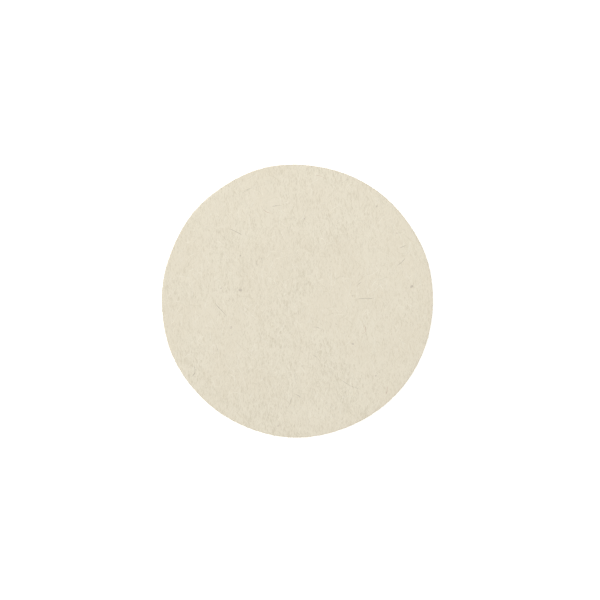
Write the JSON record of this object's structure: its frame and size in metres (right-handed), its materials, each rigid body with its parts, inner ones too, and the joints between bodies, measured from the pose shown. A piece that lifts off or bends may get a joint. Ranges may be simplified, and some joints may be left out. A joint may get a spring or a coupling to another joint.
{
  "type": "felt polishing disc",
  "caption": "Flat round disc of pressed wool felt with a self-adhesive back under a peel-off release liner, for a lap plate.",
  "frame": {"origin": "middle of the disc's underside, which is the release liner's outer face", "axes": "+Z along the disc's axis, out of the felt's working face; X and Y lie in the underside, and the liner's last line of contact as it peels is at -X"},
  "size_m": [0.1524, 0.1524, 0.0052],
  "materials": {
    "wool_felt": "natural pressed wool, matted and undyed, with odd dark hairs",
    "clear_adhesive": "clear pressure-sensitive adhesive, slightly yellow",
    "clear_film": "clear polyester film",
    "release_paper": "honey-coloured glassine, satin, siliconised on its upper face"
  },
  "bodies": {
    "pad": {"felt_disc": "wool_felt", "felt_bond_adhesive": "clear_adhesive", "carrier_film": "clear_film", "lap_adhesive": "clear_adhesive"},
    "liner": {"release_liner": "release_paper"}
  },
  "joints": [
    {"name": "release_liner_peel", "type": "hinge", "parent": "pad", "child": "liner", "pos_m": [-0.0762, 0, 0.00015], "axis": [0, 1, 0], "range_deg": [0, 180]}
  ]
}
